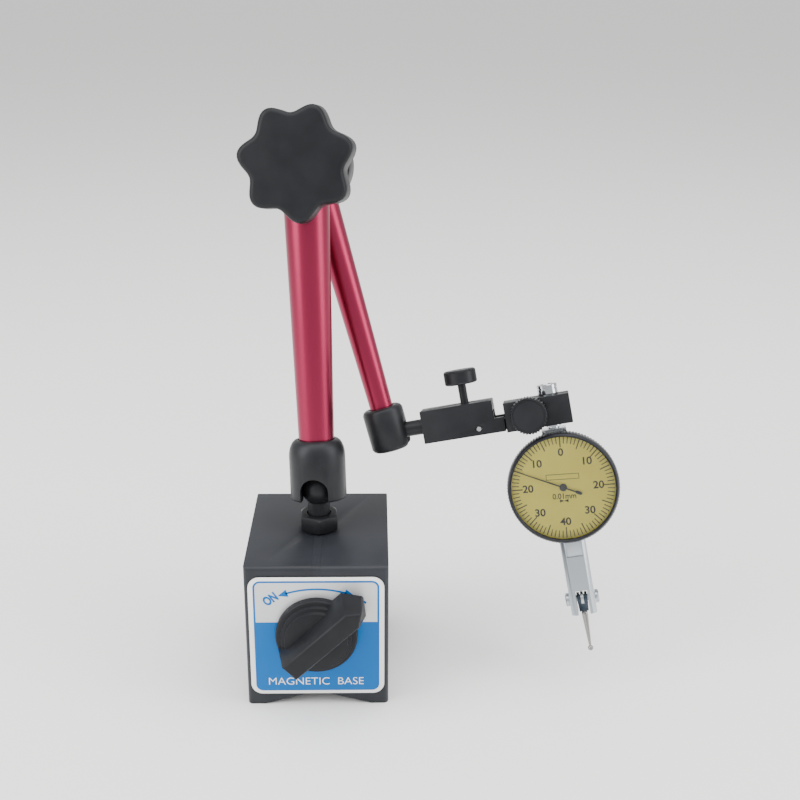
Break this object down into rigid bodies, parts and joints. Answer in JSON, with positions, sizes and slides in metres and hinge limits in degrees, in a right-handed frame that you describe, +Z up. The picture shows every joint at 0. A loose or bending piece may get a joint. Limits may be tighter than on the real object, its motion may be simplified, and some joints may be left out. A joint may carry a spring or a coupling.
{
  "type": "dial indicator on magnetic base",
  "caption": "Lever dial test indicator on a two-arm articulated stand with a central star lock knob, fine-adjust holder and switchable magnetic base.",
  "frame": {"origin": "under the middle of the bounding box, on the plane of the base feet", "axes": "+Z up, -Y to the front where the switch knob and the dial face, +X to the right along the indicator holder"},
  "size_m": [0.1338, 0.0928, 0.2051],
  "materials": {
    "black_painted_steel": "semi-matt black paint on ground steel",
    "brass": "turned brass",
    "bright_steel": "turned and ground steel",
    "printed_aluminium_label": "screen-printed aluminium plate, silver over blue",
    "ferrite_magnet": "sintered ferrite",
    "black_plastic": "moulded black thermoset plastic, fine matt grain",
    "black_oxide_steel": "turned or milled steel, black oxide",
    "red_anodised_aluminium": "drawn aluminium, red anodised, satin",
    "chrome": "bright chrome plate",
    "satin_chrome_case": "satin chrome plate",
    "slate_bezel": "dark slate anodised aluminium, serrated rim",
    "clear_acrylic": "clear polished acrylic",
    "yellow_dial": "printed yellow dial",
    "pointer_black": "black lacquered sheet"
  },
  "bodies": {
    "base": {"pole_left": "black_painted_steel", "pole_right": "black_painted_steel", "spacer_upper": "brass", "spacer_lower": "brass", "rear_cover": "black_painted_steel", "rear_cover_screw_left": "bright_steel", "rear_cover_screw_right": "bright_steel", "label_plate": "printed_aluminium_label"},
    "magnet_switch": {"magnet_rotor": "ferrite_magnet", "rotor_cap_front": "brass", "rotor_cap_rear": "brass", "switch_spindle": "bright_steel", "switch_knob": "black_plastic"},
    "ball_stud": {"lower_ball_stud": "bright_steel", "stud_lock_nut": "black_oxide_steel"},
    "lower_arm": {"lower_socket": "black_oxide_steel", "lower_tube": "red_anodised_aluminium", "lower_ball_seat": "brass", "lower_push_rod": "bright_steel", "lower_head": "black_oxide_steel", "lock_bolt": "bright_steel"},
    "elbow_knob": {"lock_knob": "black_plastic", "knob_insert": "brass"},
    "upper_arm": {"upper_head": "black_oxide_steel", "upper_tube": "red_anodised_aluminium", "upper_push_rod": "bright_steel", "upper_ball_seat": "brass", "upper_socket": "black_oxide_steel", "rear_cap": "black_plastic"},
    "upper_stud": {"upper_ball_stud": "bright_steel"},
    "holder": {"clamp_housing": "black_oxide_steel", "pivot_pin": "bright_steel", "lever_spring": "bright_steel"},
    "thumbscrew": {"fine_thumbscrew": "black_oxide_steel"},
    "jaw": {"holder_jaw": "black_oxide_steel"},
    "jaw_knob": {"clamp_knob": "black_oxide_steel"},
    "indicator": {"indicator_stem": "chrome", "dovetail_shoe": "satin_chrome_case", "indicator_case": "satin_chrome_case", "back_cover": "satin_chrome_case", "movement_plate": "brass", "pivot_screw_left": "satin_chrome_case", "pivot_screw_right": "satin_chrome_case"},
    "bezel": {"bezel_ring": "slate_bezel", "crystal": "clear_acrylic", "dial_face": "yellow_dial"},
    "needle": {"pointer": "pointer_black", "pointer_arbor": "bright_steel", "hairspring": "brass"},
    "crown": {"crown_gear": "brass"},
    "lever": {"sector_lever": "bright_steel"},
    "stylus": {"stylus_holder": "black_oxide_steel", "stylus_tip": "chrome"}
  },
  "joints": [
    {"name": "switch_turn", "type": "hinge", "parent": "base", "child": "magnet_switch", "pos_m": [-0.04086, -0.03344, 0.03], "axis": [0, -1, 0], "range_deg": [0, 90]},
    {"name": "lower_swivel", "type": "hinge", "parent": "base", "child": "ball_stud", "pos_m": [-0.04086, -0.00204, 0.071], "axis": [0, 0, 1], "continuous": true},
    {"name": "lower_tilt", "type": "hinge", "parent": "ball_stud", "child": "lower_arm", "pos_m": [-0.04086, -0.00204, 0.071], "axis": [0.9901, -0.126, 0.0614], "range_deg": [-6, 90]},
    {"name": "lock_knob_turn", "type": "hinge", "parent": "lower_arm", "child": "elbow_knob", "pos_m": [-0.04467, 0.02249, 0.18278], "axis": [-0.1361, -0.9686, 0.2079], "range_deg": [0, 180]},
    {"name": "elbow_fold", "type": "hinge", "parent": "lower_arm", "child": "upper_arm", "pos_m": [-0.0427, 0.03653, 0.17976], "axis": [-0.1361, -0.9686, 0.2079], "range_deg": [-6, 200]},
    {"name": "upper_tilt", "type": "hinge", "parent": "upper_arm", "child": "upper_stud", "pos_m": [-0.01551, 0.0127, 0.08653], "axis": [-0.1361, -0.9686, 0.2079], "range_deg": [-30, 5]},
    {"name": "holder_roll", "type": "hinge", "parent": "upper_stud", "child": "holder", "pos_m": [-0.01551, 0.0127, 0.08653], "axis": [0.9737, -0.0921, 0.2084], "range_deg": [-120, 120]},
    {"name": "fine_screw_turn", "type": "hinge", "parent": "holder", "child": "thumbscrew", "pos_m": [0.01321, 0.00998, 0.09267], "axis": [-0.174, 0.2895, 0.9412], "range_deg": [-90, 90]},
    {"name": "fine_lever_rock", "type": "hinge", "parent": "holder", "child": "jaw", "pos_m": [0.01773, 0.00857, 0.09012], "axis": [-0.147, -0.9527, 0.2659], "range_deg": [-1.85, 1.85]},
    {"name": "clamp_knob_turn", "type": "hinge", "parent": "jaw", "child": "jaw_knob", "pos_m": [0.03535, 0.00753, 0.09614], "axis": [-0.147, -0.9527, 0.2659], "range_deg": [0, 180]},
    {"name": "indicator_turn", "type": "hinge", "parent": "jaw", "child": "indicator", "pos_m": [0.04763, -0.00114, 0.07186], "axis": [-0.174, 0.2895, 0.9412], "range_deg": [-170, 170]},
    {"name": "bezel_turn", "type": "hinge", "parent": "indicator", "child": "bezel", "pos_m": [0.04763, -0.00114, 0.07186], "axis": [-0.147, -0.9527, 0.2659], "continuous": true},
    {"name": "pointer_turn", "type": "hinge", "parent": "indicator", "child": "needle", "pos_m": [0.04763, -0.00114, 0.07186], "axis": [-0.147, -0.9527, 0.2659], "range_deg": [-180, 180], "stiffness_Nm_per_rad": 0.00002},
    {"name": "crown_turn", "type": "hinge", "parent": "indicator", "child": "crown", "pos_m": [0.04763, -0.00114, 0.07186], "axis": [0.9737, -0.0921, 0.2084], "range_deg": [-30, 30]},
    {"name": "lever_swing", "type": "hinge", "parent": "indicator", "child": "lever", "pos_m": [0.05503, -0.01344, 0.03186], "axis": [0.9737, -0.0921, 0.2084], "range_deg": [-1.25, 1.25]},
    {"name": "stylus_set", "type": "hinge", "parent": "lever", "child": "stylus", "pos_m": [0.05503, -0.01344, 0.03186], "axis": [0.9737, -0.0921, 0.2084], "range_deg": [-90, 90]}
  ],
  "couplings": [
    {"joint": "fine_lever_rock", "follows": "fine_screw_turn", "ratio": -0.019894},
    {"joint": "crown_turn", "follows": "pointer_turn", "ratio": -0.164},
    {"joint": "lever_swing", "follows": "pointer_turn", "ratio": 0.0067385}
  ]
}
